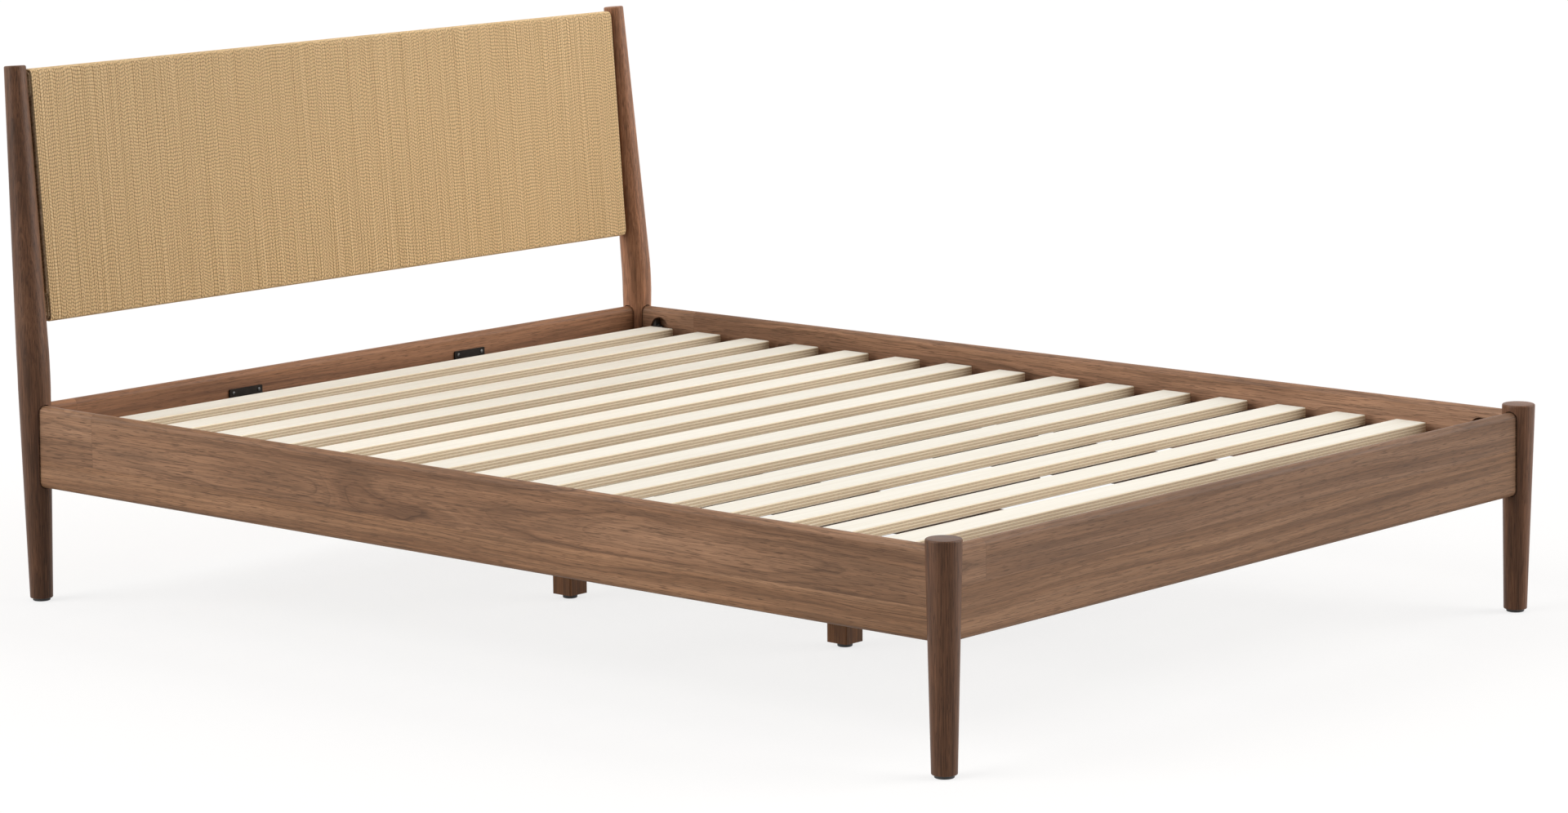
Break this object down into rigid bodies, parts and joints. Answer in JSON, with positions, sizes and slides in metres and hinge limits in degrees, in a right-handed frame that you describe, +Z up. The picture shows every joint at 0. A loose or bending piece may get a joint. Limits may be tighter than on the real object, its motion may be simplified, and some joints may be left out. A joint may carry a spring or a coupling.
{
  "type": "bed frame",
  "caption": "Low bed frame with round tapered wooden legs, a slatted mattress deck between rails, and a leaning headboard wound with twisted cord.",
  "frame": {"origin": "middle of the footprint on the floor", "axes": "+Z up from the floor, +Y from the foot end to the headboard, +X to the right of someone who stands at the foot end and looks at the headboard"},
  "size_m": [1.6072, 2.1572, 0.9463],
  "materials": {
    "walnut": "oiled, satin",
    "turned_walnut": "oiled, satin",
    "frame_wood": "plain, hidden",
    "dark_wood": "stained, matt",
    "plywood": "sanded, clear",
    "paper_cord": "twisted paper",
    "black_steel": "satin",
    "zinc_steel": "zinc plated",
    "black_plastic": "matt"
  },
  "bodies": {
    "frame": {"beam_hanger_foot_left": "black_steel", "beam_hanger_foot_right": "black_steel", "beam_hanger_head_left": "black_steel", "beam_hanger_head_right": "black_steel", "centre_beam_left": "dark_wood", "centre_beam_right": "dark_wood", "centre_leg_foot_left": "dark_wood", "centre_leg_foot_right": "dark_wood", "centre_leg_head_left": "dark_wood", "centre_leg_head_right": "dark_wood", "cord_wrap_back": "paper_cord", "cord_wrap_bottom": "paper_cord", "cord_wrap_front": "paper_cord", "cord_wrap_top": "paper_cord", "corner_glides": "black_plastic", "crossbar_foot": "dark_wood", "crossbar_head": "dark_wood", "foot_legs": "turned_walnut", "foot_rail": "walnut", "half_moon_washers": "zinc_steel", "head_posts": "turned_walnut", "head_rail": "walnut", "headboard_bottom_bar": "frame_wood", "headboard_stile_left": "frame_wood", "headboard_stile_middle": "frame_wood", "headboard_stile_right": "frame_wood", "headboard_top_bar": "frame_wood", "ledger_left": "walnut", "ledger_right": "walnut", "leveller_sleeves": "zinc_steel", "rail_studs": "zinc_steel", "side_rail_left": "walnut", "side_rail_right": "walnut", "slat_01": "plywood", "slat_02": "plywood", "slat_03": "plywood", "slat_04": "plywood", "slat_05": "plywood", "slat_06": "plywood", "slat_07": "plywood", "slat_08": "plywood", "slat_09": "plywood", "slat_10": "plywood", "slat_11": "plywood", "slat_12": "plywood", "slat_13": "plywood", "slat_14": "plywood", "slat_15": "plywood", "stud_nuts": "zinc_steel"},
    "leveller_foot_left": {"leveller_foot_left": "black_plastic"},
    "leveller_foot_right": {"leveller_foot_right": "black_plastic"},
    "leveller_head_left": {"leveller_head_left": "black_plastic"},
    "leveller_head_right": {"leveller_head_right": "black_plastic"}
  },
  "joints": [
    {"name": "leveller_foot_left_slide", "type": "slide", "parent": "frame", "child": "leveller_foot_left", "axis": [0, 0, -1], "range_m": [0, 0.012]},
    {"name": "leveller_foot_right_slide", "type": "slide", "parent": "frame", "child": "leveller_foot_right", "axis": [0, 0, -1], "range_m": [0, 0.012]},
    {"name": "leveller_head_left_slide", "type": "slide", "parent": "frame", "child": "leveller_head_left", "axis": [0, 0, -1], "range_m": [0, 0.012]},
    {"name": "leveller_head_right_slide", "type": "slide", "parent": "frame", "child": "leveller_head_right", "axis": [0, 0, -1], "range_m": [0, 0.012]}
  ]
}
